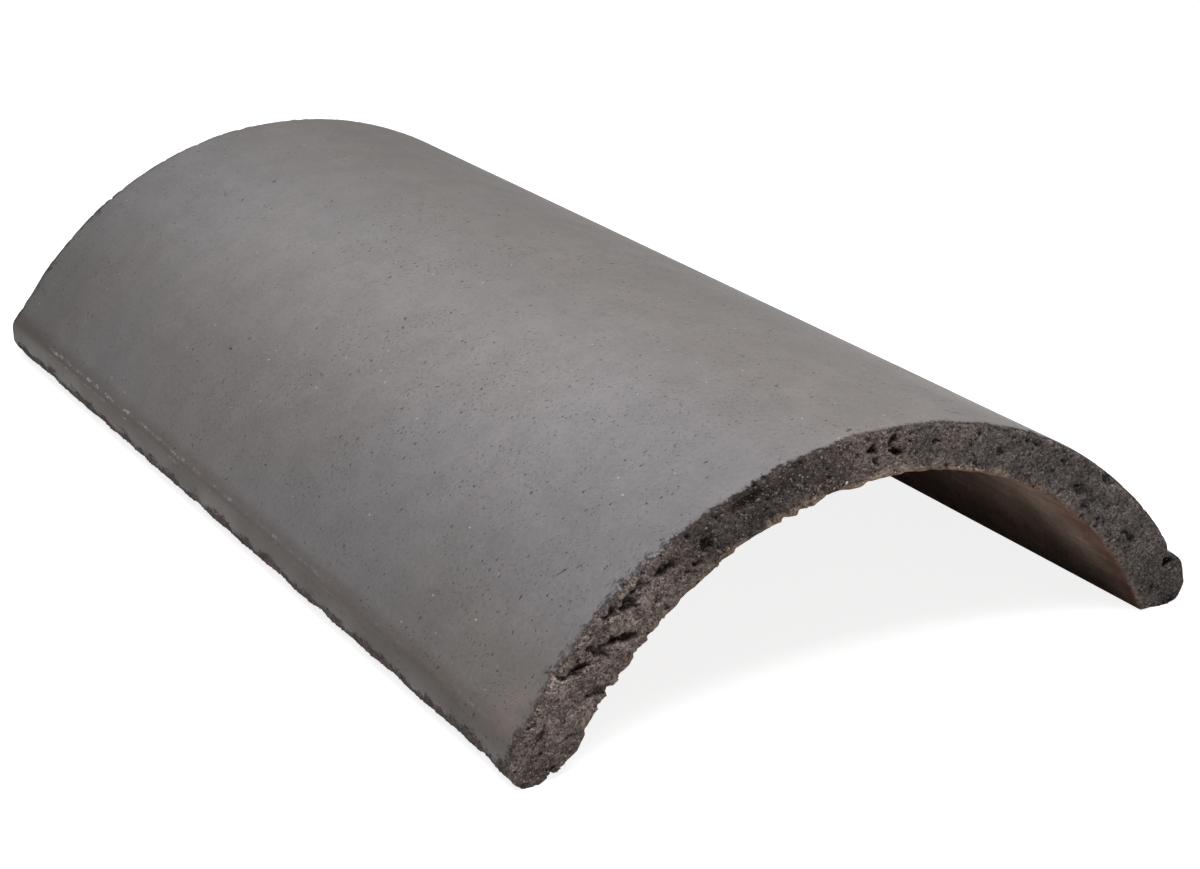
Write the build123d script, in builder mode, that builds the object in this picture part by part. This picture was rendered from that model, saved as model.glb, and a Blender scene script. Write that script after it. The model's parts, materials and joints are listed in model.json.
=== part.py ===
"""Segmental ridge tile, extruded in one piece of concrete, in millimetres.

The frame: +Y runs along the tile, +X across it, +Z up. The origin is the middle of the ground that the tile
covers, at the level of its two soles. The section is a segment of a circle. Its wall is thinner at the crown
than at the feet, because the inner face is struck from its own, higher centre. Each foot ends in a toe that
stands a little proud of the arch: a soft crease, a rounded shoulder, an upright side and a flat sole.
"""

import os
from math import radians, sqrt, tan

from build123d import *

# Driving dimensions of the whole tile
LENGTH = 457.0
WIDTH = 260.0
RISE = 88.0

# The arch
OUTER_RADIUS = 148.0
CROWN_WALL = 15.5
CLEAR_SPAN = 225.0

# The toe along each foot
CREASE_HEIGHT = 20.0
CREASE_RADIUS = 4.0
SHOULDER_SLOPE = 45.0
SHOULDER_RADIUS = 6.0
SOLE_OUTER_RADIUS = 7.0
SOLE_INNER_RADIUS = 1.5

# The arris round each end, where the fresh concrete was cut
END_ARRIS_RADIUS = 1.5

# The distance within which two places count as the same one
SAME_PLACE = 0.01

# The arcs' centres follow from the rise, the wall and the span
outer_centre = RISE - OUTER_RADIUS
inner_rise = RISE - CROWN_WALL
inner_half_span = CLEAR_SPAN / 2
inner_radius = (inner_rise**2 + inner_half_span**2) / (2 * inner_rise)

# The shoulder runs from the crease out to the upright side of the toe
toe_half_width = WIDTH / 2
crease_half_width = sqrt(OUTER_RADIUS**2 - (CREASE_HEIGHT - outer_centre) ** 2)
shoulder_drop = (toe_half_width - crease_half_width) * tan(radians(SHOULDER_SLOPE))
shoulder_height = CREASE_HEIGHT - shoulder_drop


def corners_at(sketch, half_width, height):
    """The sketch's left and right corner at this distance from the middle and at this height."""
    return [
        corner
        for corner in sketch.vertices()
        if abs(abs(corner.X) - half_width) < SAME_PLACE and abs(corner.Y - height) < SAME_PLACE
    ]


# One section serves the whole length
with BuildPart() as ridge_tile:
    with BuildSketch(Plane.XZ) as section:
        with BuildLine():
            ThreePointArc(
                (-crease_half_width, CREASE_HEIGHT),
                (0, RISE),
                (crease_half_width, CREASE_HEIGHT),
            )
            ThreePointArc((-inner_half_span, 0), (0, inner_rise), (inner_half_span, 0))
            for side in (-1, 1):
                Polyline(
                    (side * crease_half_width, CREASE_HEIGHT),
                    (side * toe_half_width, shoulder_height),
                    (side * toe_half_width, 0),
                    (side * inner_half_span, 0),
                )
        make_face()
        fillet(corners_at(section, crease_half_width, CREASE_HEIGHT), CREASE_RADIUS)
        fillet(corners_at(section, toe_half_width, shoulder_height), SHOULDER_RADIUS)
        fillet(corners_at(section, toe_half_width, 0), SOLE_OUTER_RADIUS)
        fillet(corners_at(section, inner_half_span, 0), SOLE_INNER_RADIUS)
    extrude(amount=LENGTH / 2, both=True)

    # Both ends are cut square across the tile, and handling takes the sharpness off their edges
    fillet(ridge_tile.faces().filter_by(Axis.Y).edges(), END_ARRIS_RADIUS)

ridge_tile.part.label = "ridge_tile"

os.makedirs("parts", exist_ok=True)
export_step(ridge_tile.part, "parts/ridge_tile.step")

# What the section comes to, for checking against the real tile
box = ridge_tile.part.bounding_box().size
print(f"overall {box.X:.1f} x {box.Y:.1f} x {box.Z:.1f} mm, {ridge_tile.part.volume / 1000:.0f} cm3")
print(f"inner radius {inner_radius:.1f}, crease at {crease_half_width:.1f}, shoulder at {shoulder_height:.1f}")
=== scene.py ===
# %% [markdown]
# # A concrete ridge tile
# A segmental ridge tile is a shallow arch of concrete that is laid, end to end with others, along the ridge of a
# roof. It was extruded in one piece: a die gave it its section, a knife cut it to length, and a thin coat of
# coloured slurry was spread over its upper side. So there is one piece to build here, with three finishes: the
# smooth slurry skin outside, open torn concrete on the cut ends and the soles, and the brown face under the arch
# that the mould left.
#
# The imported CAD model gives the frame: its box is the size that everything below keeps to.

import json
from math import asin, atan2, cos, pi, radians, sin, sqrt, tan

import bmesh
import bpy
from mathutils import Matrix, Vector, bvhtree, kdtree, noise

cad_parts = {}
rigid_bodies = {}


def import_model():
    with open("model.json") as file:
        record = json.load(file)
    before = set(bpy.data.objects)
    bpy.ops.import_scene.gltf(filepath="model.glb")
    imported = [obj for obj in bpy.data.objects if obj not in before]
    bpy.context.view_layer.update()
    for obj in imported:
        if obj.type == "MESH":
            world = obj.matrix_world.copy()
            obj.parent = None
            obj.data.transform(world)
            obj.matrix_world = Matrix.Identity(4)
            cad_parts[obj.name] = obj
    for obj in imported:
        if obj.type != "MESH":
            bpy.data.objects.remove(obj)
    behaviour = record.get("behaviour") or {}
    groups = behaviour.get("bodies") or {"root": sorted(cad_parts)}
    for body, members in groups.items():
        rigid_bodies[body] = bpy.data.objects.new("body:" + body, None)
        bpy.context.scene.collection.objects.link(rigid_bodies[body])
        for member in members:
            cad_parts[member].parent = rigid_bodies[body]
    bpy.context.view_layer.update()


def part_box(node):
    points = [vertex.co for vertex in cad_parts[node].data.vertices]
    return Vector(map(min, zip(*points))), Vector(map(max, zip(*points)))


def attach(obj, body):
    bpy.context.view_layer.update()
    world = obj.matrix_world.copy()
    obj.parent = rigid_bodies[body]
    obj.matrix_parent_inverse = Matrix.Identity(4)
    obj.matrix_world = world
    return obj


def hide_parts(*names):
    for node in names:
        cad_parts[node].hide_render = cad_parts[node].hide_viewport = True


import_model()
MM = 0.001
low, high = (Vector(corner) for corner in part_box("ridge_tile"))
print("The tile's box in mm:", [round(size / MM, 1) for size in high - low])

# %% [markdown]
# ## The section
# The outline of the section could be drawn point by point, but a real die is set out with straight runs and arcs,
# so this one is walked: from the crown over the outside, down round the toe, across the sole, and back up under
# the arch. Each step of the walk has a length and the angle by which it turns to the right on its way. Half a
# section is enough, because the other half is its mirror image. The walk has to end straight below its start,
# which the print at the end of the cell proves.

# %% Walk half the section
HALF_WIDTH = high.x
RISE = high.z
OUTER_RADIUS = 148 * MM
CROWN_WALL = 15.5 * MM
HALF_SPAN = 112.5 * MM
CREASE_HEIGHT = 20 * MM
CREASE_RADIUS = 4 * MM
SHOULDER_SLOPE = radians(45)
SHOULDER_RADIUS = 6 * MM
SOLE_OUTER_RADIUS = 7 * MM
SOLE_INNER_RADIUS = 1.5 * MM

crease_x = sqrt(OUTER_RADIUS**2 - (CREASE_HEIGHT - RISE + OUTER_RADIUS) ** 2)
crease_angle = asin(crease_x / OUTER_RADIUS)
crease_cut = CREASE_RADIUS * tan((crease_angle - SHOULDER_SLOPE) / 2)
arch_angle = crease_angle - crease_cut / OUTER_RADIUS
shoulder_z = CREASE_HEIGHT - (HALF_WIDTH - crease_x) * tan(SHOULDER_SLOPE)
shoulder_turn = pi / 2 - SHOULDER_SLOPE
shoulder_cut = SHOULDER_RADIUS * tan(shoulder_turn / 2)
inner_rise = RISE - CROWN_WALL
inner_radius = (inner_rise**2 + HALF_SPAN**2) / (2 * inner_rise)
heel_reach = inner_radius + SOLE_INNER_RADIUS
heel_x = sqrt(heel_reach**2 - (SOLE_INNER_RADIUS - inner_rise + inner_radius) ** 2)
heel_angle = asin(heel_x / heel_reach)

outside_steps = [
    (OUTER_RADIUS * arch_angle, arch_angle),
    (CREASE_RADIUS * (arch_angle - SHOULDER_SLOPE), SHOULDER_SLOPE - arch_angle),
    ((HALF_WIDTH - crease_x) / cos(SHOULDER_SLOPE) - crease_cut - shoulder_cut, 0.0),
    (SHOULDER_RADIUS * shoulder_turn, shoulder_turn),
    (shoulder_z - shoulder_cut - SOLE_OUTER_RADIUS, 0.0),
    (SOLE_OUTER_RADIUS * pi / 2, pi / 2),
]
sole_steps = [(HALF_WIDTH - SOLE_OUTER_RADIUS - heel_x, 0.0)]
inside_steps = [
    (SOLE_INNER_RADIUS * heel_angle, heel_angle),
    (inner_radius * heel_angle, -heel_angle),
]


def walk(steps, place, heading, count):
    """The places and outward normals at equal distances along the steps, then the heading at their end."""
    total = sum(length for length, turn in steps)
    stops = []
    done, target = 0.0, 0.0
    for length, turn in steps:
        while len(stops) <= count and target <= done + length + 1e-9:
            part = target - done
            bend = turn * part / length if length else 0.0
            chord = part * sin(bend / 2) / (bend / 2) if abs(bend) > 1e-9 else part
            way = heading + bend / 2
            spot = place + chord * Vector((cos(way), -sin(way)))
            stops.append((spot, Vector((sin(heading + bend), cos(heading + bend)))))
            target = total * len(stops) / count
        chord = length * sin(turn / 2) / (turn / 2) if turn and length else length
        way = heading + turn / 2
        place = place + chord * Vector((cos(way), -sin(way)))
        heading += turn
        done += length
    return stops, place, heading


ARCH_CELLS = 240
SOLE_CELLS = 24
outside, foot, heading = walk(outside_steps, Vector((0, RISE)), 0.0, ARCH_CELLS)
sole, heel, heading = walk(sole_steps, foot, heading, SOLE_CELLS)
inside, under_crown, heading = walk(inside_steps, heel, heading, ARCH_CELLS)
half = outside[:-1] + sole[:-1] + inside
arch_cell = sum(length for length, turn in outside_steps) / ARCH_CELLS
inner_cell = sum(length for length, turn in inside_steps) / ARCH_CELLS
print("Half outline:", len(half), "points; the walk ends", [round(v / MM, 3) for v in under_crown], "mm, wall",
      round((RISE - under_crown.y) / MM, 2), "mm; cells", round(arch_cell / MM, 2), round(inner_cell / MM, 2), "mm")

# %% [markdown]
# ## The body as one closed mesh
# Sweeping the section along the tile gives its shape, but the finish needs far smaller faces at the torn ends,
# toes and soles than on the smooth middle. One even grid fine enough for the ends would be a million faces, so
# the skin is laid in patches of 8 by 8 cells, and each patch picks the largest step that its place allows: one
# cell at the ends, two along the toes, up to eight in the middle. Steps of neighbours differ by a factor of two at
# most, and a face beside a finer patch takes that patch's corner into its own edge, so the mesh stays closed.

# %% Grid the long faces
LENGTH_CELLS = 704
PATCH = 8
TOE_FROM, TOE_TO = 192, 288
loop_size = 2 * (len(half) - 1)
row_length = (high.y - low.y) / LENGTH_CELLS


def section_at(index):
    """The place and outward normal at one point of the loop, which starts at the crown and runs to the right."""
    index %= loop_size
    mirrored = index > loop_size // 2
    place, normal = half[loop_size - index if mirrored else index]
    flip = -1 if mirrored else 1
    return Vector((flip * place.x, 0, place.y)), Vector((flip * normal.x, 0, normal.y))


def patch_step(loop_patch, row_patch):
    """The side of one face in a patch, counted in cells."""
    start = loop_patch * PATCH
    start = min(start, loop_size - PATCH - start)
    off_toe = max(TOE_FROM - start, start + PATCH - TOE_TO, 0) // PATCH
    off_end = min(row_patch, LENGTH_CELLS // PATCH - 1 - row_patch)
    return min(PATCH, 2 ** min(off_end, 3), 2 ** min(off_toe + 1, 3))


cells = []
for loop_patch in range(loop_size // PATCH):
    for row_patch in range(LENGTH_CELLS // PATCH):
        step = patch_step(loop_patch, row_patch)
        for u in range(loop_patch * PATCH, (loop_patch + 1) * PATCH, step):
            for v in range(row_patch * PATCH, (row_patch + 1) * PATCH, step):
                cells.append((u, v, step))
grid_keys = sorted({(cu % loop_size, cv) for u, v, step in cells for cu in (u, u + step) for cv in (v, v + step)})
number_of = {key: number for number, key in enumerate(grid_keys)}


def edge_keys(u, v, du, dv, step):
    """A face's edge from its first corner on: that corner, and the finer neighbour's corner if there is one."""
    keys = [(u % loop_size, v)]
    if step > 1:
        middle = ((u + du * step // 2) % loop_size, v + dv * step // 2)
        if middle in number_of:
            keys.append(middle)
    return keys


faces = []
for u, v, step in cells:
    ring = edge_keys(u, v, 1, 0, step) + edge_keys(u + step, v, 0, 1, step)
    ring += edge_keys(u + step, v + step, -1, 0, step) + edge_keys(u, v + step, 0, -1, step)
    faces.append([number_of[key] for key in ring])
print("Long faces:", len(faces), "with", len(grid_keys), "points")

# %% [markdown]
# The two ends are grids of their own, 24 cells across the wall, whose rims are the last rings of the long faces.
# A point inside such a grid lies on the straight line from the outside of the wall to the inside.

# %% Grid the two ends
WALL_CELLS = SOLE_CELLS
ARCH_SPAN = 2 * ARCH_CELLS


def rim_index(i, j):
    """The loop index of a point of an end's grid that lies on its rim, or None for one inside it."""
    if j == 0:
        return (i - ARCH_CELLS) % loop_size
    if j == WALL_CELLS:
        return loop_size - ARCH_CELLS - WALL_CELLS - i
    if i == 0:
        return loop_size - ARCH_CELLS - j
    if i == ARCH_SPAN:
        return ARCH_CELLS + j
    return None


def end_key(row, i, j):
    """The name of a point of an end's grid: a rim point shares the long faces' name."""
    index = rim_index(i, j)
    return ("end", row, i, j) if index is None else (index % loop_size, row)


for row in (0, LENGTH_CELLS):
    for i in range(ARCH_SPAN + 1):
        for j in range(WALL_CELLS + 1):
            number_of.setdefault(end_key(row, i, j), len(number_of))
    for i in range(ARCH_SPAN):
        for j in range(WALL_CELLS):
            ring = [end_key(row, i, j), end_key(row, i, j + 1), end_key(row, i + 1, j + 1), end_key(row, i + 1, j)]
            if row:
                ring.reverse()
            faces.append([number_of[key] for key in ring])
print("With both ends:", len(faces), "faces,", len(number_of), "points")

# %% [markdown]
# Every point also learns where it is on the tile, because the wear and the colours depend on it: how far it is
# from the edge of the slurry skin, how far from the edge of the brown face under the arch, how far from the cut
# end, how far round the arch from the crown, and which way is inward. Distances are in metres along the surface,
# and positive on the named side of the edge. They are kept as attributes, which Geometry Nodes and shaders both
# read.
#
# The arris round each end isn't sharp. Within its radius, a point moves on to the quarter circle.

# %% Place the points and note where they are
ARRIS_RADIUS = 0.9 * MM
ARRIS_SPREAD = 2.2 * MM
ARRIS_WAVE = 14 * MM
SKIN_EDGE = 9.5 * MM
FADE_DEPTH = 4.5 * MM

outline = [section_at(index) for index in range(loop_size)]
rims = {"outside": kdtree.KDTree(ARCH_SPAN + 1), "whole": kdtree.KDTree(loop_size), "inside": kdtree.KDTree(ARCH_SPAN + 1)}
for i in range(ARCH_SPAN + 1):
    rims["outside"].insert(outline[rim_index(i, 0)][0], i)
    rims["inside"].insert(outline[rim_index(i, WALL_CELLS)][0], i)
for index in range(loop_size):
    rims["whole"].insert(outline[index][0], index)
for tree in rims.values():
    tree.balance()


def arris_shift(gap, place, on_end):
    """How far a point this near the arris moves along the tile and into the wall."""
    radius = ARRIS_RADIUS + ARRIS_SPREAD * max(0.0, noise.noise(place / ARRIS_WAVE))
    if gap >= radius:
        return (0.0, 0.0)
    lean = pi / 4 * (1 - gap / radius)
    if on_end:
        return radius * (1 - cos(lean)), radius * (1 - sin(lean)) - gap
    return radius * (1 - sin(lean)) - gap, radius * (1 - cos(lean))


def on_long_face(index, row):
    """Place, inward direction and distances of a point of the long faces."""
    section, normal = outline[index]
    gap = min(row, LENGTH_CELLS - row) * row_length
    towards_middle = 1 if row * 2 < LENGTH_CELLS else -1
    place = Vector((section.x, low.y + row * row_length, section.z))
    along, into = arris_shift(gap, place, False)
    place += Vector((0, towards_middle * along, 0)) - normal * into
    side = min(index, loop_size - index)
    to_toe_end = (ARCH_CELLS - side) * arch_cell
    to_heel = (side - ARCH_CELLS - SOLE_CELLS) * inner_cell
    round_arch = side * arch_cell if side < ARCH_CELLS + SOLE_CELLS / 2 else (loop_size / 2 - side) * inner_cell
    round_arch *= 1 if index <= loop_size // 2 else -1
    return place, -normal, gap, min(gap, to_toe_end - SKIN_EDGE), min(gap, to_heel), round_arch


def on_end_face(row, i, j):
    """Place, inward direction and distances of a point inside one of the ends."""
    outer, inner = outline[rim_index(i, 0)][0], outline[rim_index(i, WALL_CELLS)][0]
    place = outer.lerp(inner, j / WALL_CELLS)
    nearest, index, gap = rims["whole"].find(place)
    inward = -outline[index][1]
    to_skin = rims["outside"].find(place)[2]
    to_mould = rims["inside"].find(place)[2]
    towards_middle = 1 if row == 0 else -1
    place.y = low.y + row * row_length
    along, into = arris_shift(gap, place, True)
    place += Vector((0, towards_middle * along, 0)) + inward * into
    fade = max(0.0, 1 - gap / FADE_DEPTH)
    return place, inward * fade, -gap, -to_skin, -to_mould, (i - ARCH_CELLS) * arch_cell


points = [on_end_face(*key[1:]) if key[0] == "end" else on_long_face(*key) for key in number_of]
base = bpy.data.meshes.new("tile_base")
base.from_pydata([point[0] for point in points], [], faces)
for name, column in (("to_end", 2), ("to_skin_edge", 3), ("to_mould_edge", 4), ("round_arch", 5)):
    attribute = base.attributes.new(name, "FLOAT", "POINT")
    attribute.data.foreach_set("value", [point[column] for point in points])
attribute = base.attributes.new("inward", "FLOAT_VECTOR", "POINT")
attribute.data.foreach_set("vector", [part for point in points for part in point[1]])
base.validate()
tile = bpy.data.objects.new("ridge_tile_body", base)
bpy.context.scene.collection.objects.link(tile)
base.calc_loop_triangles()
print("Base mesh:", len(base.vertices), "points,", len(base.loop_triangles), "triangles")

# %% [markdown]
# ## Voids that show in the cut
# Where the knife met a trapped bubble or dragged out a clot, the cut face has a hole with an outline of its own.
# The large ones are listed one by one, each as an ellipse on the face: where its middle is across and above the
# floor, its half length and half width, its tilt, and its depth. A little noise bends the ellipses out of true. Their
# depth is one more attribute of the points, for the wear to use.

# %% Set the large voids
VOIDS_MM = [
    (-111.8, 32.8, 3.0, 1.1, -8, 1.6), (-106.8, 34.6, 3.5, 1.5, 20, 2.0), (-100.8, 38.5, 4.2, 1.9, -35, 2.2),
    (-93.9, 40.4, 5.6, 1.4, 4, 2.6), (-96.4, 49.8, 2.7, 1.5, 45, 2.0), (-90.7, 51.0, 2.3, 2.0, 20, 2.4),
    (-86.9, 56.1, 2.9, 1.2, 40, 1.8), (-77.3, 60.3, 3.1, 1.8, 30, 1.8), (-100.5, 25.2, 3.9, 1.3, 14, 1.8),
    (-66.1, 59.0, 1.5, 1.2, 0, 1.6), (-63.2, 64.1, 2.7, 1.6, 70, 2.0), (-49.8, 75.0, 5.2, 2.3, 25, 1.6),
    (-3.0, 81.8, 1.5, 1.2, 0, 2.4), (5.2, 84.4, 2.5, 1.2, 30, 2.6), (6.1, 79.7, 2.5, 1.3, 5, 3.0),
    (-1.7, 77.5, 1.5, 0.8, 0, 1.6), (21.1, 80.7, 1.3, 0.8, 10, 1.8), (37.7, 79.0, 0.9, 1.9, -15, 1.8),
    (47.7, 71.4, 1.8, 1.1, -30, 1.5), (80.9, 52.6, 1.5, 1.1, 0, 2.2), (59.9, 72.4, 3.3, 0.7, -22, 1.2),
    (93.8, 52.2, 3.7, 0.9, -42, 1.5), (104.4, 29.5, 3.1, 1.0, -50, 1.6), (123.2, 16.0, 2.3, 1.6, -30, 2.8),
    (84.5, 44.4, 2.1, 0.9, -40, 1.2), (116.7, 8.3, 1.6, 1.1, 0, 1.2), (-119.9, 15.4, 2.5, 1.2, 30, 1.4),
    (-115.8, 3.2, 2.6, 0.6, 75, 2.2),
]
VOID_BEHIND = 9 * MM
VOID_BEND = 1.9
VOID_WAVE = 2.4


def void_depth(x, z):
    """The depth in mm of the listed voids at this place on the near end."""
    warp = noise.noise_vector(Vector((x, z, 0)) / VOID_WAVE) * VOID_BEND
    deepest = 0.0
    for middle_x, middle_z, half_length, half_width, tilt, depth in VOIDS_MM:
        dx, dz = x + warp.x - middle_x, z + warp.y - middle_z
        if abs(dx) + abs(dz) < 12:
            turn = radians(tilt)
            across = (dx * cos(turn) + dz * sin(turn)) / half_length
            above = (dz * cos(turn) - dx * sin(turn)) / half_width
            reach = across * across + above * above
            if reach < 1.7:
                deepest = max(deepest, depth * min(1.0, (1.7 - reach) / 1.2))
    return deepest


void_values = [
    void_depth(point[0].x / MM, point[0].z / MM) * MM if point[2] < VOID_BEHIND and point[0].y < 0 else 0.0
    for point in points
]
attribute = base.attributes.new("void_depth", "FLOAT", "POINT")
attribute.data.foreach_set("value", void_values)
print("Points in hand-set voids:", sum(value > 0 for value in void_values))

# %% [markdown]
# Handling has knocked a corner off the left foot, and a nick out of the crease of the right one. At the outer
# corners of the feet the concrete ran out a little, and at the far end slurry has filled the crease, which are
# knocks of a negative depth. Each has a middle, a reach and a depth. Along the tile it reaches two and a half times
# as far as across it.

# %% Set the knocks
KNOCKS_MM = [
    ((-111.5, -228.5, 0.0), 10.0, 4.2), ((124.0, -228.5, 20.0), 3.6, 1.6), ((-126.5, -228.5, 2.0), 9.0, -2.2),
    ((-124.5, 228.5, 20.0), 7.0, -0.8), ((126.5, -228.5, 3.0), 10.0, -1.6), ((-107.0, -228.5, 6.5), 3.5, -1.4),
    ((129.5, -228.5, 7.0), 12.0, -1.7),
]
KNOCK_STRETCH = 2.5


def knock_depth(place):
    """The depth in metres of the listed knocks at this place."""
    total = 0.0
    for middle, reach, depth in KNOCKS_MM:
        way = place / MM - Vector(middle)
        way.y /= KNOCK_STRETCH
        if way.length < reach:
            total += depth * MM * (1 - way.length / reach) ** 1.4
    return total


attribute = base.attributes.new("knock_depth", "FLOAT", "POINT")
attribute.data.foreach_set("value", [knock_depth(point[0]) for point in points])

# %% [markdown]
# ## Wiring nodes in a few words
# Node trees for shapes and for shaders are joined the same way, so one small helper serves both. A value given to
# it is either a number or the output of another node.

# %% A helper that wires nodes
class Wiring:
    """Adds nodes to one tree and joins them."""

    def __init__(self, tree):
        self.tree = tree

    def feed(self, socket, value):
        if isinstance(value, bpy.types.NodeSocket):
            self.tree.links.new(value, socket)
        else:
            socket.default_value = value

    def node(self, kind, inputs=None, **settings):
        node = self.tree.nodes.new(kind)
        for name, value in settings.items():
            setattr(node, name, value)
        for name, value in (inputs or {}).items():
            self.feed(node.inputs[name], value)
        return node

    def math(self, operation, *values, clamp=False):
        node = self.node("ShaderNodeMath", operation=operation, use_clamp=clamp)
        for socket, value in zip(node.inputs, values):
            self.feed(socket, value)
        return node.outputs[0]

    def vector(self, operation, *values):
        node = self.node("ShaderNodeVectorMath", operation=operation)
        for socket, value in zip(node.inputs, values):
            self.feed(socket, value)
        return node.outputs["Value" if operation in ("LENGTH", "DISTANCE", "DOT_PRODUCT") else "Vector"]

    def scaled(self, vector, factor):
        node = self.node("ShaderNodeVectorMath", operation="SCALE", inputs={"Scale": factor})
        self.feed(node.inputs[0], vector)
        return node.outputs["Vector"]

    def rise(self, value, start, end, low=0.0, high=1.0):
        """A smooth step: low up to the start, high from the end on."""
        ranges = {"Value": value, "From Min": start, "From Max": end, "To Min": low, "To Max": high}
        return self.node("ShaderNodeMapRange", ranges, interpolation_type="SMOOTHSTEP").outputs[0]

    def total(self, *values):
        result = values[0]
        for value in values[1:]:
            result = self.math("ADD", result, value)
        return result

    def product(self, *values):
        result = values[0]
        for value in values[1:]:
            result = self.math("MULTIPLY", result, value)
        return result

    def shifted(self, place, seed):
        """The same place in another part of a pattern, so that two patterns with two seeds aren't alike."""
        return self.vector("ADD", place, (0.31 * seed, 0.47 * seed, 0.73 * seed)) if seed else place

    def clouds(self, place, size, detail=2.0, roughness=0.5, seed=0, output="Fac"):
        """Noise between 0 and 1 whose largest clouds are about this size in metres."""
        inputs = {"Vector": self.shifted(place, seed), "Scale": 1 / size, "Detail": detail, "Roughness": roughness}
        return self.node("ShaderNodeTexNoise", inputs).outputs[output]

    def cells(self, place, size, seed=0, flat=False):
        """Random cells about this size in metres: the distance to the middle in cells, and a random colour."""
        node = self.node("ShaderNodeTexVoronoi", voronoi_dimensions="2D" if flat else "3D")
        self.feed(node.inputs["Vector"], self.shifted(place, seed))
        node.inputs["Scale"].default_value = 1 / size
        return node.outputs["Distance"], node.outputs["Color"]


def group_sockets(tree, inputs, outputs):
    """Declares a group's named sockets: a number makes a value, a tuple of four a colour, a string its type."""
    kinds = {float: "NodeSocketFloat", int: "NodeSocketInt", tuple: "NodeSocketColor"}
    for way, sockets in (("INPUT", inputs), ("OUTPUT", outputs)):
        for name, value in sockets.items():
            kind = value if isinstance(value, str) else kinds[type(value)]
            socket = tree.interface.new_socket(name=name, in_out=way, socket_type=kind)
            if not isinstance(value, str):
                socket.default_value = value


# %% [markdown]
# ## Wear by Geometry Nodes
# The rest of the relief follows rules, so it is made by Geometry Nodes:
#
# - the slurry coat lies on the outside, and the whole wall is a little uneven, as extruded concrete is;
# - the cut ends are torn: broad swells, broken sand grain, ragged pits where clots came away, small pores, and the
#   listed voids;
# - the arris outside is nibbled;
# - the knife dragged concrete over the arris under the arch, and left a row of teeth: each rises slowly and stops
#   short, so the row is a saw wave along the arch, bent out of step by noise, and with longer teeth by the crown;
# - the soles stood on rough pallets, so the lower edge of the toes is ragged.
#
# The swells and grain go both ways about the CAD's cut face, and the rest goes inwards, so the tile keeps its box
# and stands on the same floor. The depth of the hollows is stored as one more attribute, because the shader paints
# them darker, for dirt and for painted shade.

# %% Build the tree that wears the tile
def attribute_output(wiring, name, kind="FLOAT"):
    node = wiring.node("GeometryNodeInputNamedAttribute", {"Name": name}, data_type=kind)
    return next(socket for socket in node.outputs if socket.enabled and socket.name == "Attribute")


WEAR = {
    "Coat Thickness": 0.35 * MM,
    "Wall Waviness": 0.35 * MM,
    "End Swell": 0.8 * MM,
    "Grain Relief": 0.45 * MM,
    "Pit Depth": 2.4 * MM,
    "Pore Depth": 1.4 * MM,
    "Chip Depth": 1.3 * MM,
    "Lip Swell": 0.7 * MM,
    "Tooth Height": 1.7 * MM,
    "Tooth Spacing": 7.5 * MM,
    "Sole Roughness": 1.4 * MM,
}


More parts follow.
